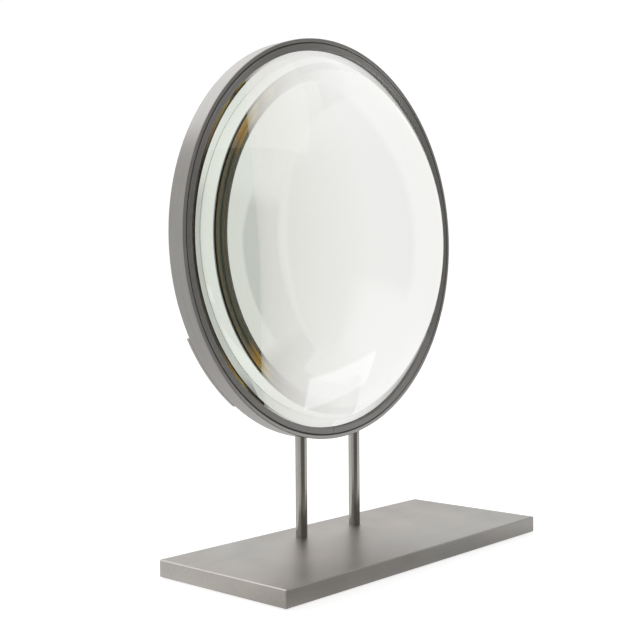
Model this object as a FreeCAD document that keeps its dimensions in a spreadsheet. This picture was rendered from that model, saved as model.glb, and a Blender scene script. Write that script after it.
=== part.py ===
"""A large plano-convex magnifying lens in a steel hoop, on two rods and a heavy base plate.

Millimetres. +Z is up, +X is to the right and the domed face of the lens looks along -Y.
The origin is the middle of the plane that the four pads rest on, under the base plate's centre.
"""
import FreeCAD
import Part
import math
import os
import re

import Sketcher
from FreeCAD import Placement, Rotation, Vector

os.makedirs("parts", exist_ok=True)
doc = FreeCAD.newDocument("lens_stand")

# ---------------------------------------------------------------------------
# Driving dimensions, in millimetres and degrees
# ---------------------------------------------------------------------------
DIMENSIONS = {
    # base plate, with felt pads glued under its corners
    "base_length": 337.0,
    "base_width": 140.0,
    "base_thickness": 14.0,
    "base_edge": 0.7,
    "pad_radius": 9.0,
    "pad_thickness": 1.0,
    "pad_inset": 16.0,
    # the two rods stand behind the plate's centre, so that the heavy dome hangs over it
    "rod_radius": 5.0,
    "rod_half_spacing": 35.5,
    "rod_setback": 38.5,
    "rod_socket": 3.0,
    # hoop: a rolled flat bar, centred on the rods' plane
    "hoop_radius": 175.0,
    "hoop_height": 273.15,
    "band_thickness": 3.3,
    "band_half_depth": 8.75,
    "band_edge": 0.45,
    # front retaining ring, flush with the hoop, with a bevelled mouth
    "front_ring_radius": 170.7,
    "front_ring_depth": 4.0,
    "front_bore_radius": 165.0,
    "front_bevel": 0.95,
    "ring_edge": 0.3,
    "ring_split": 0.5,
    "ring_split_offset": 2.3,
    # lens
    "lens_radius": 165.5,
    "lens_sag": 70.0,
    "lens_edge": 8.7,
    "lens_rim_setback": 4.1,
    "lens_bevel": 0.6,
    # joint filler outside the front ring, a washer behind it, packing round the edge of the
    # glass and a gasket at its back
    "filler_setback": 0.5,
    "filler_gap": 0.02,
    "washer_gap": 0.05,
    "washer_thickness": 0.45,
    "washer_bore_radius": 165.1,
    "packing_inner": 165.75,
    "packing_outer": 171.5,
    "packing_gap": 0.2,
    "gasket_thickness": 0.5,
    "gasket_bore_radius": 163.1,
    # rear retaining ring
    "rear_ring_radius": 171.3,
    "rear_bore_radius": 162.5,
    # keepers: two curved plates across the joint of the hoop and the rear ring, low on each side
    "keeper_thickness": 3.25,
    "keeper_bore_radius": 164.6,
    "keeper_arc": 25.0,
    "keeper_lean": 49.5,
    "keeper_edge": 0.35,
    "keeper_screw_circle": 167.4,
    "keeper_screw_spread": 8.0,
    # countersunk socket screws: M3 in the keepers, M6 from under the plate, M4 inside the hoop
    "keeper_screw_head": 2.75,
    "keeper_screw_radius": 1.5,
    "keeper_screw_length": 6.0,
    "keeper_screw_key": 1.0,
    "base_screw_head": 6.0,
    "base_screw_radius": 3.0,
    "base_screw_length": 24.0,
    "base_screw_key": 2.0,
    "base_screw_recess": 1.0,
    "hoop_screw_head": 3.8,
    "hoop_screw_radius": 2.0,
    "hoop_screw_length": 14.0,
    "hoop_screw_key": 1.25,
    "hoop_screw_drop": 168.9,
    # clearances
    "thread_gap": 0.05,
    "shank_gap": 0.2,
    "tip_gap": 1.0,
    "overcut": 2.0,
}

sheet = doc.addObject("Spreadsheet::Sheet", "Size")
for row, (alias, value) in enumerate(DIMENSIONS.items(), start=1):
    sheet.set(f"A{row}", alias)
    sheet.set(f"B{row}", str(value))
    sheet.setAlias(f"B{row}", alias)
doc.recompute()

# Formulas that several pieces share
BAND_FRONT = "-band_half_depth"
BAND_BACK = "band_half_depth"
RING_BACK = "(front_ring_depth - band_half_depth)"
LENS_BACK = "lens_edge - lens_rim_setback"
ROD_FOOT = "pad_thickness + base_thickness - rod_socket"
HOOP_CENTRE = ("0", "rod_setback", "hoop_height")
THROUGH = "4 * base_width"


# ---------------------------------------------------------------------------
# Helpers
# ---------------------------------------------------------------------------
def formula(text):
    """Write a formula in bare dimension names as one that reads the sheet."""
    def named(word):
        return f"Size.{word[0]}" if word[0] in DIMENSIONS else word[0]
    return re.sub(r"[a-z_]+", named, text)


def number(text):
    """The present value of a formula."""
    value = sheet.evalExpression(formula(text))
    return float(getattr(value, "Value", value))


def bind(item, name, text):
    """Bind a property of an object to a formula."""
    item.setExpression(name, formula(text))


def place(item, corner, rotation=Rotation()):
    """Turn an object, and hold its origin at three formulas."""
    item.Placement = Placement(Vector(), rotation)
    for axis, text in zip("xyz", corner):
        bind(item, f".Placement.Base.{axis}", text)


def new_body(label, corner, rotation=Rotation()):
    body = doc.addObject("PartDesign::Body", label)
    body.Label = label
    place(body, corner, rotation)
    return body


def new_sketch(body, role, name, shift=None):
    """A sketch on one of the body's own origin planes, shifted by formulas in its own axes."""
    planes = [plane for plane in body.Origin.OriginFeatures if plane.Role == role]
    sketch = body.newObject("Sketcher::SketchObject", f"{body.Label}_{name}")
    sketch.AttachmentSupport = (planes[0], "")
    sketch.MapMode = "FlatFace"
    for axis, text in (shift or {}).items():
        bind(sketch, f".AttachmentOffset.Base.{axis}", text)
    return sketch


def hold(sketch, geometry, point, position):
    """Hold a point of a sketch at its formula distances from the sketch's origin."""
    for kind, text, axis in zip(("DistanceX", "DistanceY"), position, (-2, -1)):
        if text == "0":
            sketch.addConstraint(Sketcher.Constraint("PointOnObject", geometry, point, axis))
            continue
        index = sketch.addConstraint(
            Sketcher.Constraint(kind, -1, 1, geometry, point, number(text)))
        bind(sketch, f"Constraints[{index}]", text)


def polygon(sketch, corners):
    """A closed outline of straight lines through corners given as formulas."""
    points = [Vector(number(x), number(y), 0) for x, y in corners]
    count = len(points)
    for start, end in zip(points, points[1:] + points[:1]):
        sketch.addGeometry(Part.LineSegment(start, end), False)
    for line in range(count):
        following = (line + 1) % count
        sketch.addConstraint(Sketcher.Constraint("Coincident", line, 2, following, 1))
        hold(sketch, line, 1, corners[line])


def circles(sketch, centres, radius):
    """Circles of one radius with their centres at formula positions."""
    for x, y in centres:
        circle = Part.Circle(Vector(number(x), number(y), 0), Vector(0, 0, 1), number(radius))
        index = sketch.addGeometry(circle, False)
        hold(sketch, index, 3, (x, y))
        rule = sketch.addConstraint(Sketcher.Constraint("Radius", index, number(radius)))
        bind(sketch, f"Constraints[{rule}]", radius)


def feature(body, kind, sketch, name):
    item = body.newObject(f"PartDesign::{kind}", f"{body.Label}_{name}")
    item.Profile = (sketch, [""])
    return item


def revolve(body, sketch, name="turned", axis="H_Axis", kind="Revolution", angle="360"):
    item = feature(body, kind, sketch, name)
    item.ReferenceAxis = (sketch, [axis])
    bind(item, "Angle", angle)
    return item


def pad(body, sketch, length, name="block"):
    item = feature(body, "Pad", sketch, name)
    bind(item, "Length", length)
    return item


def pocket(body, sketch, length, name, both_ways=False, reverse=False):
    item = feature(body, "Pocket", sketch, name)
    item.SideType = "Symmetric" if both_ways else "One side"
    item.Reversed = reverse
    bind(item, "Length", length)
    return item


def bar_section(front, back, inner, outer, edge):
    """Section of a ring of flat bar with its four edges broken, as (axial, radial) corners."""
    return [
        (f"{front} + {edge}", inner),
        (f"{back} - {edge}", inner),
        (back, f"{inner} + {edge}"),
        (back, f"{outer} - {edge}"),
        (f"{back} - {edge}", outer),
        (f"{front} + {edge}", outer),
        (front, f"{outer} - {edge}"),
        (front, f"{inner} + {edge}"),
    ]


def ring(label, section, angle="360", rotation=Rotation()):
    """A ring about the lens axis, turned from a section in (axial, radial) formulas."""
    body = new_body(label, HOOP_CENTRE, rotation)
    sketch = new_sketch(body, "YZ_Plane", "section")
    polygon(sketch, section)
    revolve(body, sketch, angle=angle)
    return body


def split_ring(body, inner, outer):
    """Saw the narrow butt joint through a ring, close to its lowest point."""
    sketch = new_sketch(body, "XZ_Plane", "joint")
    left = "-ring_split_offset - ring_split / 2"
    right = "-ring_split_offset + ring_split / 2"
    low = f"-{outer} - overcut"
    high = f"-{inner} + overcut"
    polygon(sketch, [(left, low), (right, low), (right, high), (left, high)])
    pocket(body, sketch, THROUGH, "sawn", both_ways=True)


def drilled(body, name, profile, shift=None):
    """Turn a stepped hole about a vertical axis, from (radius, height) formulas."""
    sketch = new_sketch(body, "XZ_Plane", f"{name}_profile", shift)
    polygon(sketch, profile)
    revolve(body, sketch, name, axis="V_Axis", kind="Groove")


def screw(label, kind, corner, rotation=Rotation()):
    """A countersunk hexagon socket screw. Its head is at its origin and its shank points down."""
    head = f"{kind}_head"
    shank = f"{kind}_radius"
    length = f"{kind}_length"
    key = f"{kind}_key"
    body = new_body(label, corner, rotation)
    profile = new_sketch(body, "XZ_Plane", "profile")
    polygon(profile, [
        ("0", "0"),
        (head, "0"),
        (shank, f"{shank} - {head}"),
        (shank, f"{shank} / 6 - {length}"),
        (f"{shank} * 5 / 6", f"-{length}"),
        ("0", f"-{length}"),
    ])
    revolve(body, profile, axis="V_Axis")
    socket = new_sketch(body, "XY_Plane", "socket")
    corners = [(f"{key} / cos(30) * cos({turn})", f"{key} / cos(30) * sin({turn})")
               for turn in (30, 90, 150, 210, 270, 330)]
    corners[1] = ("0", f"{key} / cos(30)")
    corners[4] = ("0", f"-{key} / cos(30)")
    polygon(socket, corners)
    pocket(body, socket, f"{head} - {shank} + {key} / 4", "key")
    return body


def group(label, bodies):
    """Identical fasteners as one named group of separate solids."""
    compound = doc.addObject("Part::Compound", label)
    compound.Label = label
    compound.Links = bodies
    return compound


# ---------------------------------------------------------------------------
# Base plate and its pads
# ---------------------------------------------------------------------------
def make_base_plate():
    body = new_body("base_plate", ("0", "0", "pad_thickness"))
    outline = new_sketch(body, "XY_Plane", "outline")
    polygon(outline, [
        (f"{x}base_length / 2", f"{y}base_width / 2")
        for x, y in (("-", "-"), ("", "-"), ("", ""), ("-", ""))
    ])
    block = pad(body, outline, "base_thickness")
    doc.recompute()
    edges = [f"Edge{index + 1}" for index in range(len(block.Shape.Edges))]
    broken = body.newObject("PartDesign::Chamfer", "base_plate_edges")
    broken.Base = (block, edges)
    bind(broken, "Size", "base_edge")

    # Each hole is countersunk from below for the screw, and opens at the top as the rod's socket.
    head = "base_screw_head + shank_gap"
    shank = "base_screw_radius + shank_gap"
    socket = "rod_radius + thread_gap"
    neck = "base_screw_recess + base_screw_head - base_screw_radius"
    step = "base_thickness - rod_socket"
    above = "base_thickness + overcut"
    profile = [
        ("0", "-overcut"),
        (head, "-overcut"),
        (head, "base_screw_recess"),
        (shank, neck),
        (shank, step),
        (socket, step),
        (socket, above),
        ("0", above),
    ]
    for side, sign in (("left", "-"), ("right", "")):
        shift = {"x": f"{sign}rod_half_spacing", "z": "-rod_setback"}
        drilled(body, f"{side}_hole", profile, shift)
    return body


def make_pads():
    pads = []
    for end, y_sign in (("front", "-"), ("rear", "")):
        for side, x_sign in (("left", "-"), ("right", "")):
            label = f"pad_{end}_{side}"
            felt = doc.addObject("Part::Cylinder", label)
            felt.Label = label
            bind(felt, "Radius", "pad_radius")
            bind(felt, "Height", "pad_thickness")
            x = f"{x_sign}(base_length / 2 - pad_inset)"
            y = f"{y_sign}(base_width / 2 - pad_inset)"
            place(felt, (x, y, "0"))
            pads.append(felt)
    return pads


# ---------------------------------------------------------------------------
# Rods and their screws
# ---------------------------------------------------------------------------
def make_rod(side, sign):
    """A round rod, coped at the top to the hoop and tapped at both ends."""
    body = new_body(f"{side}_rod", (f"{sign}rod_half_spacing", "rod_setback", ROD_FOOT))
    rise = f"(hoop_height - ({ROD_FOOT}))"
    section = new_sketch(body, "XY_Plane", "section")
    circles(section, [("0", "0")], "rod_radius")
    pad(body, section, f"{rise} - hoop_screw_drop", "bar")

    opposite = "" if sign else "-"
    cope = new_sketch(body, "XZ_Plane", "cope")
    circles(cope, [(f"{opposite}rod_half_spacing", rise)], "hoop_radius")
    pocket(body, cope, THROUGH, "coped", both_ways=True)

    foot_radius = "base_screw_radius + thread_gap"
    foot_depth = "base_screw_recess + base_screw_length + tip_gap - base_thickness + rod_socket"
    drilled(body, "foot_thread", [
        ("0", "-overcut"), (foot_radius, "-overcut"), (foot_radius, foot_depth), ("0", foot_depth)])
    top_radius = "hoop_screw_radius + thread_gap"
    top_floor = f"{rise} - hoop_screw_drop - hoop_screw_length - tip_gap"
    top = f"{rise} - hoop_screw_drop + overcut"
    drilled(body, "top_thread", [
        ("0", top_floor), (top_radius, top_floor), (top_radius, top), ("0", top)])
    return body


def make_rod_screws():
    """Screws from under the plate, pointing up, and screws from inside the hoop, pointing down."""
    upwards = Rotation(Vector(1, 0, 0), 180)
    from_below = []
    from_hoop = []
    for side, sign in (("left", "-"), ("right", "")):
        x = f"{sign}rod_half_spacing"
        low = (x, "rod_setback", "pad_thickness + base_screw_recess")
        high = (x, "rod_setback", "hoop_height - hoop_screw_drop")
        from_below.append(screw(f"{side}_base_screw", "base_screw", low, upwards))
        from_hoop.append(screw(f"{side}_hoop_screw", "hoop_screw", high))
    return [group("rod_base_screws", from_below), group("rod_hoop_screws", from_hoop)]


# ---------------------------------------------------------------------------
# Hoop, retaining rings and keepers
# ---------------------------------------------------------------------------
def make_hoop():
    inner = "(hoop_radius - band_thickness)"
    section = bar_section(BAND_FRONT, BAND_BACK, inner, "hoop_radius", "band_edge")
    body = ring("hoop", section)
    head = "hoop_screw_head + shank_gap"
    shank = "hoop_screw_radius + shank_gap"
    profile = [
        ("0", "-hoop_radius - overcut"),
        (shank, "-hoop_radius - overcut"),
        (shank, "-hoop_screw_drop - hoop_screw_head + hoop_screw_radius"),
        (head, "-hoop_screw_drop"),
        (head, "-hoop_screw_drop + 2 * overcut"),
        ("0", "-hoop_screw_drop + 2 * overcut"),
    ]
    for side, sign in (("left", "-"), ("right", "")):
        drilled(body, f"{side}_hole", profile, {"x": f"{sign}rod_half_spacing"})
    return body


def make_front_ring():
    """A split ring of flat bar with a bevelled mouth, close in front of the rim of the dome."""
    body = ring("front_retaining_ring", [
        (BAND_FRONT, "front_bore_radius + front_bevel"),
        (f"{BAND_FRONT} + front_bevel", "front_bore_radius"),
        (RING_BACK, "front_bore_radius"),
        (RING_BACK, "front_ring_radius"),
        (f"{BAND_FRONT} + ring_edge", "front_ring_radius"),
        (BAND_FRONT, "front_ring_radius - ring_edge"),
    ])
    split_ring(body, "front_bore_radius", "front_ring_radius")
    return body


def make_rear_ring():
    """A split ring of square bar behind the glass, tapped for the keepers' screws."""
    front = f"({LENS_BACK} + gasket_thickness)"
    section = bar_section(front, BAND_BACK, "rear_bore_radius", "rear_ring_radius", "ring_edge")
    body = ring("rear_retaining_ring", section)
    split_ring(body, "rear_bore_radius", "rear_ring_radius")
    holes = new_sketch(body, "XZ_Plane", "holes", {"z": "-band_half_depth"})
    centres = [(f"{sign}keeper_screw_circle * sin(keeper_lean {turn} keeper_screw_spread)",
                f"-keeper_screw_circle * cos(keeper_lean {turn} keeper_screw_spread)")
               for sign in ("-", "") for turn in ("-", "+")]
    circles(holes, centres, "keeper_screw_radius + thread_gap")
    depth = "keeper_screw_length - keeper_thickness + tip_gap / 2"
    pocket(body, holes, depth, "tapped", reverse=True)
    return body


def make_keeper(side, lean):
    """A curved plate behind the hoop, countersunk for its two screws."""
    back = f"({BAND_BACK} + keeper_thickness)"
    section = bar_section(BAND_BACK, back, "keeper_bore_radius", "hoop_radius", "keeper_edge")
    body = new_body(f"{side}_keeper", HOOP_CENTRE, Rotation(Vector(0, 1, 0), 180 + number(lean)))
    sketch = new_sketch(body, "YZ_Plane", "section")
    polygon(sketch, section)
    plate = revolve(body, sketch, angle="keeper_arc")
    plate.Midplane = True
    doc.recompute()

    holes = new_sketch(body, "XZ_Plane", "holes", {"z": f"-{back}"})
    height = "keeper_screw_circle * cos(keeper_screw_spread)"
    reach = "keeper_screw_circle * sin(keeper_screw_spread)"
    circles(holes, [(f"-{reach}", height), (reach, height)], "keeper_screw_radius")
    doc.recompute()
    cut = feature(body, "Hole", holes, "countersunk")
    cut.Reversed = True
    cut.DepthType = "ThroughAll"
    cut.HoleCutType = "Countersink"
    cut.HoleCutCountersinkAngle = 90
    bind(cut, "Diameter", "2 * (keeper_screw_radius + shank_gap)")
    bind(cut, "HoleCutDiameter", "2 * (keeper_screw_head + shank_gap)")
    return body


def make_keeper_screws():
    backwards = Rotation(Vector(1, 0, 0), -90)
    screws = []
    for side, sign in (("left", "-"), ("right", "")):
        for place_name, turn in (("lower", "-"), ("upper", "+")):
            angle = f"(keeper_lean {turn} keeper_screw_spread)"
            corner = (
                f"{sign}keeper_screw_circle * sin{angle}",
                "rod_setback + band_half_depth + keeper_thickness",
                f"hoop_height - keeper_screw_circle * cos{angle}",
            )
            screws.append(screw(f"{side}_{place_name}_keeper_screw", "keeper_screw", corner, backwards))
    return group("keeper_screws", screws)


# ---------------------------------------------------------------------------
# Lens, and the soft pieces round it
# ---------------------------------------------------------------------------
def make_lens():
    """Plano-convex glass: a spherical dome to the front, a ground edge and a flat back."""
    body = new_body("lens", HOOP_CENTRE)
    sketch = new_sketch(body, "YZ_Plane", "section")
    corners = [
        ("-lens_rim_setback", "lens_radius"),
        (f"{LENS_BACK} - lens_bevel", "lens_radius"),
        (LENS_BACK, "lens_radius - lens_bevel"),
        (LENS_BACK, "0"),
        ("-lens_rim_setback - lens_sag", "0"),
    ]
    points = [Vector(number(axial), number(radius), 0) for axial, radius in corners]
    for start, end in zip(points, points[1:]):
        sketch.addGeometry(Part.LineSegment(start, end), False)
    dome_radius = number("(lens_radius ^ 2 + lens_sag ^ 2) / (2 * lens_sag)")
    circle = Part.Circle(points[4] + Vector(dome_radius, 0, 0), Vector(0, 0, 1), dome_radius)
    rim_angle = math.pi - math.asin(number("lens_radius") / dome_radius)
    dome = sketch.addGeometry(Part.ArcOfCircle(circle, rim_angle, math.pi), False)
    for line in range(3):
        sketch.addConstraint(Sketcher.Constraint("Coincident", line, 2, line + 1, 1))
    sketch.addConstraint(Sketcher.Constraint("Coincident", 3, 2, dome, 2))
    sketch.addConstraint(Sketcher.Constraint("Coincident", dome, 1, 0, 1))
    sketch.addConstraint(Sketcher.Constraint("PointOnObject", dome, 3, -1))
    for line in range(4):
        hold(sketch, line, 1, corners[line])
    hold(sketch, 3, 2, corners[4])
    revolve(body, sketch)
    return body


def make_joint_filler():
    """Dark compound in the joint between the hoop and the front ring, a little below flush."""
    inner = "front_ring_radius + filler_gap"
    outer = "hoop_radius - band_thickness - filler_gap"
    front = f"{BAND_FRONT} + filler_setback"
    return ring("joint_filler", [
        (front, inner),
        (RING_BACK, inner),
        (RING_BACK, outer),
        (front, outer),
    ])


def make_front_washer():
    """A thin washer behind the front ring, its bore bevelled to clear the dome."""
    front = f"({RING_BACK} + washer_gap)"
    back = f"({front} + washer_thickness)"
    return ring("front_washer", [
        (front, "washer_bore_radius"),
        (back, "washer_bore_radius + washer_thickness"),
        (back, "front_ring_radius"),
        (front, "front_ring_radius"),
    ])


def make_edge_packing():
    """A strip round the edge of the glass, between the two retaining rings."""
    front = f"{RING_BACK} + washer_gap + washer_thickness"
    back = f"{LENS_BACK} - packing_gap"
    return ring("edge_packing", [
        (front, "packing_inner"),
        (back, "packing_inner"),
        (back, "packing_outer"),
        (front, "packing_outer"),
    ])


def make_rear_gasket():
    back = f"{LENS_BACK} + gasket_thickness"
    return ring("rear_gasket", [
        (LENS_BACK, "gasket_bore_radius"),
        (back, "gasket_bore_radius"),
        (back, "lens_radius - lens_bevel"),
        (LENS_BACK, "lens_radius - lens_bevel"),
    ])


# ---------------------------------------------------------------------------
# The whole object
# ---------------------------------------------------------------------------
parts = [
    make_base_plate(),
    *make_pads(),
    make_rod("left", "-"),
    make_rod("right", ""),
    *make_rod_screws(),
    make_hoop(),
    make_front_ring(),
    make_rear_ring(),
    make_lens(),
    make_joint_filler(),
    make_front_washer(),
    make_edge_packing(),
    make_rear_gasket(),
    make_keeper("left", "keeper_lean"),
    make_keeper("right", "-keeper_lean"),
    make_keeper_screws(),
]
doc.recompute()

for item in doc.Objects:
    if "Invalid" in item.State or "Error" in item.State:
        raise RuntimeError(f"{item.Name} failed: {item.State}")
for piece in parts:
    if piece.Shape.isNull() or not piece.Shape.isValid():
        raise RuntimeError(f"{piece.Label} has no valid shape")
for piece in parts:
    piece.Shape.exportStep(f"parts/{piece.Label}.step")
    print(f"{piece.Label:24s} {len(piece.Shape.Solids)} solid(s) {piece.Shape.Volume:14.1f} mm3")
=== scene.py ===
import math

import bmesh
import bpy
from mathutils import Matrix, Vector


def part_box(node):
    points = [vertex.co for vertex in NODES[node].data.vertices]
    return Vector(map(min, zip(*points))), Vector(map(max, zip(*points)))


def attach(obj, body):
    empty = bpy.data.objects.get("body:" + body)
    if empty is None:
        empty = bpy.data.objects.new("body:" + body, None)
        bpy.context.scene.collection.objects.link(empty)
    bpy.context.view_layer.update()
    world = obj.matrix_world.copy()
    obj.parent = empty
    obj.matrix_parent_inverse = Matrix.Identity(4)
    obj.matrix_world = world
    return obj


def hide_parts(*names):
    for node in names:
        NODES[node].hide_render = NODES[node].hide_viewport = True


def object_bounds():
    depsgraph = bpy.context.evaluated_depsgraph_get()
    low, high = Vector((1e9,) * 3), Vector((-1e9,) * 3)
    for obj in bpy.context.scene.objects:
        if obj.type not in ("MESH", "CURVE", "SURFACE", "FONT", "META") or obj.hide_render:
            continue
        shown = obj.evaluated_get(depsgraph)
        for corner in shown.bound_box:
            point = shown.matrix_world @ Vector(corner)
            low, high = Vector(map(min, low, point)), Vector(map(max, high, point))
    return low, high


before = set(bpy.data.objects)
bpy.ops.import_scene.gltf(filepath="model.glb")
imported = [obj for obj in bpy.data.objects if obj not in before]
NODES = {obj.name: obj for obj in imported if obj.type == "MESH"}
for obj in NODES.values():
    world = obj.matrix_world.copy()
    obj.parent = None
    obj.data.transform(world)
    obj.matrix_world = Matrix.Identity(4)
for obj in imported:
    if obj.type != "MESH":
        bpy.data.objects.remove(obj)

CAD_LOW, CAD_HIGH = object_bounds()

HOOP_LOW, HOOP_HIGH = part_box("hoop")
AXIS = (HOOP_LOW + HOOP_HIGH) / 2          # centre of the hoop, on the lens's axis
HOOP_RADIUS = (HOOP_HIGH.x - HOOP_LOW.x) / 2
X_AXIS, Y_AXIS, Z_AXIS = range(3)

# ---------------------------------------------------------------- camera

EYE = Vector((-0.7261, -0.6059, 0.2245))
LOOK = Vector((0.7434, 0.6686, -0.0224)).normalized()
TILT = math.radians(-0.446)                # turn about the line of sight
SENSOR_WIDTH = 36.0                        # in mm, as is the next
FOCAL_LENGTH = 61.42
CLIP_START, CLIP_END = 0.02, 60.0

camera = bpy.data.objects.new("camera", bpy.data.cameras.new("camera"))
bpy.context.scene.collection.objects.link(camera)
camera.data.sensor_width = SENSOR_WIDTH
camera.data.lens = FOCAL_LENGTH
camera.data.clip_start = CLIP_START
camera.data.clip_end = CLIP_END
camera.rotation_mode = "QUATERNION"
camera.location = EYE
camera.rotation_quaternion = (
    LOOK.to_track_quat("-Z", "Y") @ Matrix.Rotation(TILT, 3, "Z").to_quaternion()
)
bpy.context.scene.camera = camera
bpy.context.scene.view_settings.view_transform = "Standard"

# ---------------------------------------------------------------- node helpers

# Sockets of the colour mix node, whose names aren't unique
MIX_FACTOR, MIX_A, MIX_B = 0, 6, 7
MIX_COLOUR = 2


class Tree:
    """A node tree with short ways to add nodes and maths to it."""

    def __init__(self, tree):
        self.tree = tree
        tree.nodes.clear()

    def add(self, kind, values=None, **settings):
        node = self.tree.nodes.new("ShaderNode" + kind)
        for key, value in settings.items():
            setattr(node, key, value)
        for key, value in (values or {}).items():
            self.put(node.inputs[key], value)
        return node

    def put(self, socket, value):
        if isinstance(value, bpy.types.NodeSocket):
            self.tree.links.new(value, socket)
        else:
            socket.default_value = value

    def math(self, operation, a, b=0.0):
        return self.add("Math", {0: a, 1: b}, operation=operation).outputs[0]

    def length(self, a, b):
        """The square root of a squared plus b squared."""
        squares = self.math("ADD", self.math("MULTIPLY", a, a), self.math("MULTIPLY", b, b))
        return self.math("SQRT", squares)

    def span(self, value, a, b, c=0.0, d=1.0, smooth=False):
        """Maps value from a..b to c..d, held at the ends."""
        kind = "SMOOTHSTEP" if smooth else "LINEAR"
        node = self.add("MapRange", interpolation_type=kind, clamp=True)
        for socket, number in zip(node.inputs, (value, a, b, c, d)):
            self.put(socket, number)
        return node.outputs[0]

    def mix(self, factor, a, b, how="MIX"):
        values = {MIX_FACTOR: factor, MIX_A: a, MIX_B: b}
        return self.add("Mix", values, data_type="RGBA", blend_type=how).outputs[MIX_COLOUR]

    def noise(self, vector, scale, detail, rough, w=None):
        """Noise in space, or in space and along w."""
        values = {"Vector": vector, "Scale": scale, "Detail": detail, "Roughness": rough}
        if w is None:
            return self.add("TexNoise", values, noise_dimensions="3D").outputs[0]
        return self.add("TexNoise", values | {"W": w}, noise_dimensions="4D").outputs[0]

    def join(self, x, y, z):
        return self.add("CombineXYZ", {"X": x, "Y": y, "Z": z}).outputs[0]

    def relief(self, shader, strength, distance, height):
        bump = self.add("Bump", {"Strength": strength, "Distance": distance, "Height": height})
        self.put(shader.inputs["Normal"], bump.outputs[0])

    def ray(self, kind):
        """1 for rays of the kind, such as Is Camera Ray, and 0 for others."""
        return self.add("LightPath").outputs[kind]

    def end(self, shader, **others):
        """Ends the tree in a surface shader, and in others such as Volume."""
        links = {"Surface": shader} | others
        self.add("OutputMaterial", {key: node.outputs[0] for key, node in links.items()})


def rgb(r, g, b):
    return (r, g, b, 1.0)


def grey(level):
    return rgb(level, level, level)


def material(name):
    made = bpy.data.materials.new(name)
    made.use_nodes = True
    return made, Tree(made.node_tree)


def place(t):
    """Position in the row frame, whole and by axis. Every piece's origin is the frame's."""
    whole = t.add("TexCoord").outputs["Object"]
    return whole, *t.add("SeparateXYZ", {"Vector": whole}).outputs


# ---------------------------------------------------------------- steel, rubber and felt

# Noise cells per metre across and along brushed lines
GRAIN_ACROSS, GRAIN_ALONG = 1500.0, 22.0

# Noises as scale, detail and roughness. The scales of the two kinds of line are in those cells
FINE_LINES = (1.0, 4.0, 0.62)
WIDE_LINES = (0.22, 3.0, 0.6)
CLOUDS = (26.0, 4.0, 0.55)
PATCHES = (9.0, 2.0, 0.5)
FINE_SHARE, WIDE_SHARE = 0.65, 0.35        # how much of each kind of line

# Values lie near the middle of a noise's range, so only a part of it is spread over the effect
MIDDLE = (0.3, 0.7)
LINES_IN_TONE = (0.32, 0.68)
PATCHES_IN_TONE = (0.35, 0.65)

WARM_PATCH = (1.4, 1.3)                    # red added and blue taken away, in parts of warm
COOL_PATCH = (0.6, 1.0)
FACING = (0.8, 0.95)                       # Y of the normal where a face starts to count, and fully does
SPECK_CELLS = 55.0                         # per metre
SPECK_EDGE = (0.015, 0.05)                 # in cells
SPECK_COLOUR = rgb(0.12, 0.10, 0.08)
LINES_GLOSSIER, LINES_DULLER = 0.05, 0.06  # what the lines take from roughness and add to it
CLOUDS_GLOSSIER, CLOUDS_DULLER = 0.025, 0.035
BRUSH_DEPTH = 0.00002
QUARTER_TURN = 0.25


def grain_along(axis, across=GRAIN_ACROSS, along=GRAIN_ALONG):
    """Brushed lines that run along one axis."""

    def coordinates(t):
        _, *position = place(t)
        scales = [along if i == axis else across for i in (X_AXIS, Y_AXIS, Z_AXIS)]
        return t.join(*(t.math("MULTIPLY", v, s) for v, s in zip(position, scales))), None

    return coordinates


def grain_round(t):
    """Brushed lines that run round the hoop's axis, with no seam."""
    _, x, y, z = place(t)
    z = t.math("SUBTRACT", z, AXIS.z)
    radius = t.length(x, z)
    turn = t.math("DIVIDE", HOOP_RADIUS * GRAIN_ALONG, radius)
    around = (t.math("MULTIPLY", x, turn), t.math("MULTIPLY", z, turn))
    vector = t.join(*around, t.math("MULTIPLY", y, GRAIN_ACROSS))
    return vector, t.math("MULTIPLY", radius, GRAIN_ACROSS)


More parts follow.
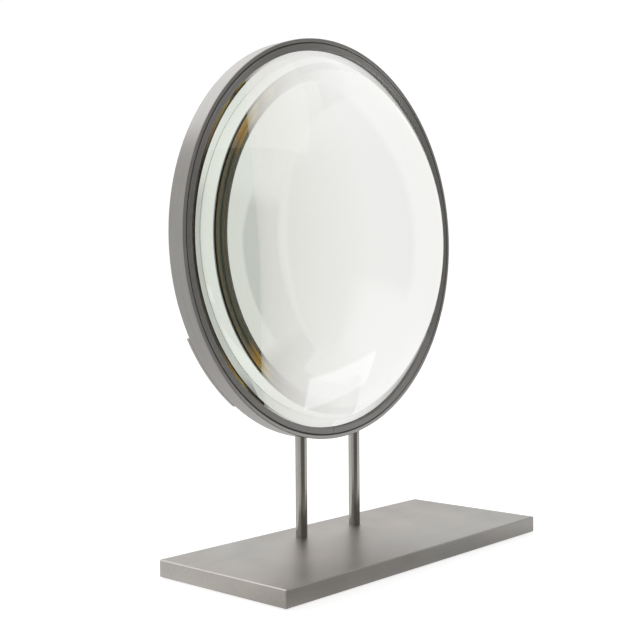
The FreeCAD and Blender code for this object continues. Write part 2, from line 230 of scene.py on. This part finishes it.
def steel(
    name, tone, rough, grain,
    warm=0.045, edge=0.9, lines=0.10, cloud=0.06, specks=0.0, spread=0.0, face=1.0,
):
    """Satin brushed steel: fine lines, soft clouding and patches of warmer tone.

    warm is how much redder and less blue than grey it is, and edge its tint at grazing angles.
    lines and cloud are how far they move its tone, and specks how strong its dark specks are.
    spread is how far it smears reflections, and face how many times as light its front and back
    are painted as its other sides, as painted light. grain gives the coordinates of the brushed lines.
    """
    made, t = material(name)
    whole = place(t)[0]
    vector, w = grain(t)
    fine = t.noise(vector, *FINE_LINES, w)
    wide = t.noise(vector, *WIDE_LINES, w)
    cloudy = t.noise(whole, *CLOUDS)
    patch = t.noise(whole, *PATCHES)
    streak = t.math(
        "ADD", t.math("MULTIPLY", fine, FINE_SHARE), t.math("MULTIPLY", wide, WIDE_SHARE)
    )
    light = t.math(
        "ADD",
        t.span(streak, *LINES_IN_TONE, 1.0 - lines, 1.0 + lines),
        t.span(cloudy, *MIDDLE, -cloud, cloud),
    )
    # painted light: the front and back faces made lighter than the other sides by face
    if face != 1.0:
        normal = t.add("TexCoord").outputs["Normal"]
        front = t.add("SeparateXYZ", {"Vector": normal}).outputs["Y"]
        painted_face_light = t.span(t.math("ABSOLUTE", front), *FACING, 1.0, face)
        light = t.math("MULTIPLY", light, painted_face_light)
    hues = [
        rgb(tone * (1 + red * warm), tone, tone * (1 - blue * warm))
        for red, blue in (WARM_PATCH, COOL_PATCH)
    ]
    hue = t.mix(t.span(patch, *PATCHES_IN_TONE, smooth=True), *hues)
    colour = t.mix(1.0, hue, light, "MULTIPLY")
    if specks:
        cells = {"Vector": whole, "Scale": SPECK_CELLS, "Randomness": 1.0}
        spots = t.add("TexVoronoi", cells, feature="F1").outputs["Distance"]
        dark = t.span(spots, *SPECK_EDGE, 1.0, 0.0, True)
        colour = t.mix(t.math("MULTIPLY", dark, specks), colour, SPECK_COLOUR)
    roughness = t.math(
        "ADD",
        t.span(streak, *MIDDLE, rough - LINES_GLOSSIER, rough + LINES_DULLER),
        t.span(cloudy, *MIDDLE, -CLOUDS_GLOSSIER, CLOUDS_DULLER),
    )
    shader = t.add("BsdfPrincipled", {
        "Base Color": colour, "Metallic": 1.0, "Specular Tint": grey(edge), "Roughness": roughness,
    })
    if spread:
        shader.inputs["Anisotropic"].default_value = spread
        shader.inputs["Anisotropic Rotation"].default_value = QUARTER_TURN
        round_axis = t.add("Tangent", direction_type="RADIAL", axis="Y")
        t.put(shader.inputs["Tangent"], round_axis.outputs[0])
    t.relief(shader, 1.0, BRUSH_DEPTH, streak)
    t.end(shader)
    return made


SOFT_GRAIN = (5.0, 0.65)                   # detail and roughness, as are the next
SOFT_BROAD = (3.0, 0.5)
SOFT_RATIO = 14.0                          # size of the broad noise, in grains
GRAIN_SHARE, BROAD_SHARE = 0.6, 0.4
SOFT_GLOSS = 0.08                          # how far the noise moves roughness
SOFT_RELIEF = 0.8


def matte(name, dark, light, rough, cells, height):
    """Rubber, felt or packing: fine grain in colour, roughness and relief."""
    made, t = material(name)
    whole = place(t)[0]
    grain = t.noise(whole, cells, *SOFT_GRAIN)
    broad = t.noise(whole, cells / SOFT_RATIO, *SOFT_BROAD)
    shade = t.math(
        "ADD", t.math("MULTIPLY", grain, GRAIN_SHARE), t.math("MULTIPLY", broad, BROAD_SHARE)
    )
    shader = t.add("BsdfPrincipled", {
        "Base Color": t.mix(t.span(shade, *MIDDLE), rgb(*dark), rgb(*light)),
        "Roughness": t.span(shade, *MIDDLE, rough - SOFT_GLOSS, rough + SOFT_GLOSS),
    })
    t.relief(shader, SOFT_RELIEF, height, shade)
    t.end(shader)
    return made


def dress(node, made):
    """Gives a CAD node its material."""
    piece = NODES[node]
    if not piece.material_slots:
        piece.data.materials.append(made)
    for held in piece.material_slots:
        held.material = made


PLATE = steel(
    "plate_steel", tone=0.45, rough=0.36, grain=grain_along(X_AXIS), edge=0.65, specks=0.5
)
ROD = steel(
    "rod_steel", tone=0.42, rough=0.17, grain=grain_along(Z_AXIS, across=2200.0, along=30.0),
    edge=0.35, lines=0.12,
)
# painted light: the hoop's front and back faces are painted half again as light as its band
HOOP = steel(
    "hoop_steel", tone=0.35, rough=0.33, grain=grain_round,
    warm=0.025, specks=0.6, spread=0.7, face=1.5,
)
RING = steel("ring_steel", tone=0.50, rough=0.48, grain=grain_round, warm=0.02, spread=0.92)
KEEPER = steel("keeper_steel", tone=0.36, rough=0.34, grain=grain_round)
SCREW = steel(
    "screw_steel", tone=0.26, rough=0.30, grain=grain_along(Y_AXIS, across=2200.0, along=60.0),
    cloud=0.1,
)
RUBBER = matte(
    "dark_rubber", (0.02, 0.022, 0.02), (0.05, 0.055, 0.05), rough=0.6, cells=900.0, height=0.00003
)
# painted shade: a dark filler in the gap between hoop and ring, where the gap is in shade
GAP_SHADE_FILLER = matte(
    "joint_compound", (0.07, 0.068, 0.064), (0.12, 0.116, 0.11),
    rough=0.7, cells=800.0, height=0.00004,
)
PACKING = matte(
    "packing", (0.055, 0.038, 0.024), (0.11, 0.075, 0.045), rough=0.75, cells=700.0, height=0.00005
)
FELT = matte(
    "felt", (0.05, 0.05, 0.05), (0.12, 0.12, 0.12), rough=0.92, cells=2200.0, height=0.00008
)

DRESSED = (
    (PLATE, "plate_steel", ("base_plate",)),
    (ROD, "rod_steel", ("left_rod", "right_rod")),
    (HOOP, "hoop_steel", ("hoop",)),
    (RING, "ring_steel", ("front_retaining_ring", "rear_retaining_ring")),
    (KEEPER, "keeper_steel", ("left_keeper", "right_keeper")),
    (SCREW, "screw_steel", ("rod_base_screws", "rod_hoop_screws", "keeper_screws")),
    (RUBBER, "dark_rubber", ("front_washer", "rear_gasket")),
    (PACKING, "packing", ("edge_packing",)),
    (GAP_SHADE_FILLER, "joint_compound", ("joint_filler",)),
    (FELT, "felt", ("pad_front_left", "pad_front_right", "pad_rear_left", "pad_rear_right")),
)
for made, slot, nodes in DRESSED:
    for node in nodes:
        dress(node, made)

# ---------------------------------------------------------------- lens

LENS_LOW, LENS_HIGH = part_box("lens")
LENS_RADIUS = (LENS_HIGH.x - LENS_LOW.x) / 2
LENS_EDGE = 0.0087                         # thickness at the rim
LENS_BEVEL = 0.00005                       # taken off the dome's and the back's radius at the rim
FRONT_BEVEL = 0.7                          # depth of the front bevel, in parts of LENS_BEVEL
RIM_FRONT = LENS_HIGH.y - LENS_EDGE
SAG = RIM_FRONT - LENS_LOW.y
DOME_RADIUS = (LENS_RADIUS ** 2 + SAG ** 2) / (2 * SAG)
TURNS = 360                                # points in each ring of the mesh
DOME_RINGS = 96
RIM_RINGS = 4
BACK_RINGS = (0.75, 0.5, 0.25)             # in parts of the flat back's radius

GLASS_INDEX = 1.54
GLASS_DEPTH = rgb(0.25, 0.40, 0.15)        # a metre of it absorbs 1 minus each of these
GLASS_DENSITY = 1.0

RIM_GRAIN = (900.0, 5.0, 0.65)
RIM_BROAD = (60.0, 3.0, 0.5)
RIM_BROWN = rgb(0.66, 0.50, 0.28)          # at the front
RIM_GREEN = rgb(0.36, 0.44, 0.41)          # behind it
RIM_BORDER = (0.003, 0.0065)               # start and end of the change, behind the rim's front
RIM_WAVER = 0.001                          # how far that change wanders
RIM_DIRT = rgb(0.03, 0.03, 0.02)
RIM_DIRTY = 0.35                           # most dirt in the grain
RIM_ROUGH = 0.75
RIM_RELIEF, RIM_DEPTH = 0.8, 0.00002
# painted light: amber colours of light split by the glass, painted on the rim, and the painted glow they
# give
AMBER_FRINGE_LIGHT = rgb(0.80, 0.40, 0.06), rgb(1.0, 0.80, 0.25)
FRINGE_GLOW = 0.26
# Painted light: amber fringes of light split by the glass, painted on the rim and glowing, as degrees
# round the axis from +X: where each starts, is full, starts to fade and is gone
PAINTED_FRINGES = (
    (-4.0, -6.5, -11.0, -12.5),
    (-12.7, -13.3, -16.0, -17.0),
    (12.5, 15.0, 18.0, 20.0),
)


def glass():
    """Clear glass, faintly green in its depth."""
    made, t = material("optical_glass")
    shader = t.add("BsdfPrincipled", {
        "Base Color": grey(1.0), "Roughness": 0.0, "IOR": GLASS_INDEX, "Transmission Weight": 1.0,
    })
    depth = t.add("VolumeAbsorption", {"Color": GLASS_DEPTH, "Density": GLASS_DENSITY})
    t.end(shader, Volume=depth)
    return made


def ground_edge():
    """The lens's ground rim: dull brown to green, with painted amber fringes of split light in it that
    glow a little, as painted light.
    """
    made, t = material("ground_edge")
    whole, x, y, z = place(t)
    grain = t.noise(whole, *RIM_GRAIN)
    broad = t.noise(whole, *RIM_BROAD)
    setback = t.math("ADD", y, t.span(broad, *MIDDLE, -RIM_WAVER, RIM_WAVER))
    start, end = (RIM_FRONT + depth for depth in RIM_BORDER)
    colour = t.mix(t.span(setback, start, end, smooth=True), RIM_BROWN, RIM_GREEN)
    angle = t.math("ARCTAN2", t.math("SUBTRACT", z, AXIS.z), x)
    glow = 0.0
    # each fringe paints amber light onto the rim and adds a painted glow
    for fringe in PAINTED_FRINGES:
        near, deep, far, gone = (math.radians(a) for a in fringe)
        tone = t.mix(t.span(angle, deep, far), *AMBER_FRINGE_LIGHT)
        strength = t.math(
            "MULTIPLY", t.span(angle, near, deep), t.span(angle, far, gone, 1.0, 0.0)
        )
        colour = t.mix(strength, colour, tone)
        glow = t.math("ADD", glow, t.math("MULTIPLY", strength, FRINGE_GLOW))
    colour = t.mix(t.span(grain, *MIDDLE, RIM_DIRTY, 0.0), colour, RIM_DIRT)
    shader = t.add("BsdfPrincipled", {
        "Base Color": colour, "Roughness": RIM_ROUGH,
        "Emission Color": colour, "Emission Strength": glow,
    })
    t.relief(shader, RIM_RELIEF, RIM_DEPTH, grain)
    t.end(shader)
    return made


def lens_profile():
    """The dome, the rim and the back as lists of (radius, y), without the points on the axis."""
    centre = LENS_LOW.y + DOME_RADIUS
    flat = LENS_RADIUS - LENS_BEVEL
    reach = math.asin(flat / DOME_RADIUS)
    angles = [reach * i / DOME_RINGS for i in range(1, DOME_RINGS + 1)]
    dome = [(DOME_RADIUS * math.sin(a), centre - DOME_RADIUS * math.cos(a)) for a in angles]
    top = RIM_FRONT + LENS_BEVEL * FRONT_BEVEL
    deep = LENS_EDGE - (1 + FRONT_BEVEL) * LENS_BEVEL
    rim = [(LENS_RADIUS, top + deep * i / RIM_RINGS) for i in range(RIM_RINGS + 1)]
    back = [(flat * share, LENS_HIGH.y) for share in (1.0, *BACK_RINGS)]
    return dome, rim, back


def make_lens():
    """The lens turned round its axis: dome to the front, flat to the back, ground rim between."""
    dome, rim, back = lens_profile()
    rim_start = len(dome)
    rim_end = rim_start + len(rim)

    mesh = bmesh.new()
    front_point = mesh.verts.new((AXIS.x, LENS_LOW.y, AXIS.z))
    back_point = mesh.verts.new((AXIS.x, LENS_HIGH.y, AXIS.z))
    turns = [math.tau * j / TURNS for j in range(TURNS)]
    rings = [
        [
            mesh.verts.new((AXIS.x + radius * math.cos(a), y, AXIS.z + radius * math.sin(a)))
            for a in turns
        ]
        for radius, y in dome + rim + back
    ]
    for j in range(TURNS):
        k = (j + 1) % TURNS
        mesh.faces.new((front_point, rings[0][j], rings[0][k]))
        mesh.faces.new((back_point, rings[-1][k], rings[-1][j]))
        for i in range(len(rings) - 1):
            face = mesh.faces.new((rings[i][j], rings[i + 1][j], rings[i + 1][k], rings[i][k]))
            if rim_start <= i < rim_end:
                face.material_index = 1
    bmesh.ops.recalc_face_normals(mesh, faces=mesh.faces)
    for face in mesh.faces:
        face.smooth = True
    for i in (rim_start - 1, rim_start, rim_end - 1, rim_end):
        for j in range(TURNS):
            mesh.edges.get((rings[i][j], rings[i][(j + 1) % TURNS])).smooth = False
    data = bpy.data.meshes.new("lens_glass")
    mesh.to_mesh(data)
    mesh.free()
    data.materials.append(glass())
    data.materials.append(ground_edge())
    piece = bpy.data.objects.new("lens_glass", data)
    bpy.context.scene.collection.objects.link(piece)
    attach(piece, "root")
    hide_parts("lens")


make_lens()

# ---------------------------------------------------------------- stage and light


def bearing(azimuth, elevation):
    """Unit vector towards an azimuth (0 along +Y, 90 along +X) and elevation in degrees."""
    a, e = math.radians(azimuth), math.radians(elevation)
    return Vector((math.sin(a) * math.cos(e), math.cos(a) * math.cos(e), math.sin(e)))


# Light all round from the walls and from the floor, as azimuths in degrees with colours
WALLS = (
    (0, (0.93, 0.93, 0.93)),
    (20, (0.97, 0.965, 0.96)),
    (58, (0.97, 0.965, 0.96)),
    (69, (0.91, 0.90, 0.88)),
    (80, (0.85, 0.83, 0.80)),
    (92, (0.86, 0.85, 0.83)),
    (107, (0.88, 0.87, 0.86)),
    (114, (0.30, 0.295, 0.29)),
    (140, (0.22, 0.215, 0.21)),
    (234, (0.20, 0.195, 0.19)),
    (248, (0.70, 0.695, 0.67)),
    (290, (0.84, 0.835, 0.81)),
    (308, (0.88, 0.875, 0.85)),
    (340, (0.93, 0.92, 0.90)),
    (360, (0.93, 0.93, 0.93)),
)
FLOOR = (
    (0, (1.12, 1.12, 1.11)),
    (20, (1.10, 1.095, 1.09)),
    (80, (0.95, 0.945, 0.94)),
    (107, (0.95, 0.945, 0.94)),
    (120, (1.00, 0.995, 0.99)),
    (148, (0.95, 0.945, 0.94)),
    (158, (0.17, 0.168, 0.162)),
    (234, (0.20, 0.195, 0.19)),
    (248, (0.70, 0.695, 0.67)),
    (308, (0.86, 0.855, 0.835)),
    (360, (1.12, 1.12, 1.11)),
)
FULL_TURN = 360.0
DARKEST_IN_GLASS = rgb(0.70, 0.70, 0.69)   # limits of what shows through glass
BRIGHTEST_IN_GLASS = grey(1.07)
# Panels: direction, half width, lowest, highest, softness of the edge, brightness
PANELS = (
    (bearing(20, 47), 0.65, -0.21, 0.34, 0.03, 2.2),
    (bearing(61, 17.8), 0.14, -0.035, 0.045, 0.015, 1.07),
    (bearing(205, 65), 0.60, -0.42, 0.60, 0.02, 0.80),
)
WALL_TOP = (0.66, 0.78)                    # heights on the unit sphere where the walls give way
CEILING = grey(0.42)
BACKDROP = grey(1.02)                      # what the camera sees of the room
AHEAD, LEAST_DEPTH = 0.02, 0.0001          # depths that keep a panel from showing behind as well

FLOOR_SIDES, FLOOR_RADIUS = 96, 14.0
FLOOR_PAINT = {
    "Base Color": grey(0.50), "Roughness": 0.8, "Specular IOR Level": 0.0,
    "Emission Color": grey(1.0), "Emission Strength": 0.74,
}
PAINTED_SHADOW_IN_FRONT = rgb(0.42, 0.415, 0.41)       # the floor's glow close to the object, in front with a painted shadow and behind
UNDER_BACK = rgb(1.08, 1.07, 1.06)
FRONT_TO_BACK = (-0.10, 0.06)
NEAR_TO_FAR = (0.10, 0.30)                 # distances where FLOOR takes over from those two
FAR_TO_WALLS = (0.60, 1.60)                # and WALLS from FLOOR


def panel(t, way, aim, wide, low, high, soft):
    """1 where a flat panel far away in the direction aim covers the view, 0 elsewhere."""

    def along(vector):
        node = t.add("VectorMath", {0: way, 1: tuple(vector)}, operation="DOT_PRODUCT")
        return node.outputs["Value"]

    side = aim.cross(Vector((0, 0, 1))).normalized()
    depth = t.math("MAXIMUM", along(aim), LEAST_DEPTH)
    u = t.math("DIVIDE", along(side), depth)
    v = t.math("DIVIDE", along(side.cross(aim)), depth)
    across = t.span(t.math("ABSOLUTE", u), wide + soft, wide, smooth=True)
    above = t.span(v, low - soft, low, smooth=True)
    below = t.span(v, high + soft, high, smooth=True)
    facing = t.math("GREATER_THAN", along(aim), AHEAD)
    return t.math("MULTIPLY", t.math("MULTIPLY", across, facing), t.math("MULTIPLY", above, below))


def all_round(t, x, y, table):
    """The light in the direction x, y from a table of azimuths and colours."""
    turn = t.math("FRACT", t.math("DIVIDE", t.math("ARCTAN2", x, y), math.tau))
    ramp = t.add("ValToRGB", {"Fac": turn})
    stops = ramp.color_ramp.elements
    while len(stops) < len(table):
        stops.new(0.5)                     # moved to its place below
    for stop, (azimuth, colour) in zip(stops, table):
        stop.position = azimuth / FULL_TURN
        stop.color = rgb(*colour)
    in_glass = t.ray("Is Transmission Ray")
    return t.mix(in_glass, ramp.outputs["Color"], DARKEST_IN_GLASS, "LIGHTEN")


def dimmed_in_glass(t, light):
    return t.mix(t.ray("Is Transmission Ray"), light, BRIGHTEST_IN_GLASS, "DARKEN")


def make_world():
    """A pale room that the camera sees as plain white. Metal and glass see it dark on the camera's
    side, with a bright panel high up behind, a thin one low behind and one high in front."""
    world = bpy.data.worlds.new("studio")
    bpy.context.scene.world = world
    world.use_nodes = True
    t = Tree(world.node_tree)
    way = t.add("TexCoord").outputs["Generated"]
    x, y, z = t.add("SeparateXYZ", {"Vector": way}).outputs
    above = t.span(z, *WALL_TOP, smooth=True)
    light = t.mix(above, all_round(t, x, y, WALLS), CEILING)
    for *shape, level in PANELS:
        light = t.mix(panel(t, way, *shape), light, grey(level), "LIGHTEN")
    light = dimmed_in_glass(t, light)
    light = t.mix(t.ray("Is Camera Ray"), light, BACKDROP)
    shader = t.add("Background", {"Color": light})
    t.add("OutputWorld", {"Surface": shader.outputs[0]})


def make_floor():
    """A wide plain white floor under the pads. Metal and glass see tones in it that run into the
    walls' far away, and a painted shadow close in front of the object."""
    mesh = bmesh.new()
    bmesh.ops.create_circle(mesh, cap_ends=True, segments=FLOOR_SIDES, radius=FLOOR_RADIUS)
    data = bpy.data.meshes.new("floor")
    mesh.to_mesh(data)
    mesh.free()
    made, t = material("floor")
    seen = t.add("BsdfPrincipled", FLOOR_PAINT)
    _, x, y, _ = place(t)
    away = t.length(x, y)
    # painted shadow: the glow close in front of the object is darker
    near = t.mix(t.span(y, *FRONT_TO_BACK, smooth=True), PAINTED_SHADOW_IN_FRONT, UNDER_BACK)
    glow = t.mix(t.span(away, *NEAR_TO_FAR, smooth=True), near, all_round(t, x, y, FLOOR))
    glow = t.mix(t.span(away, *FAR_TO_WALLS, smooth=True), glow, all_round(t, x, y, WALLS))
    lit = t.add("Emission", {"Color": dimmed_in_glass(t, glow), "Strength": 1.0})
    t.end(t.add("MixShader", {0: t.ray("Is Camera Ray"), 1: lit.outputs[0], 2: seen.outputs[0]}))
    data.materials.append(made)
    floor = bpy.data.objects.new("floor", data)
    bpy.context.scene.collection.objects.link(floor)
    floor.location = (0.0, 0.0, CAD_LOW.z)


make_floor()
make_world()
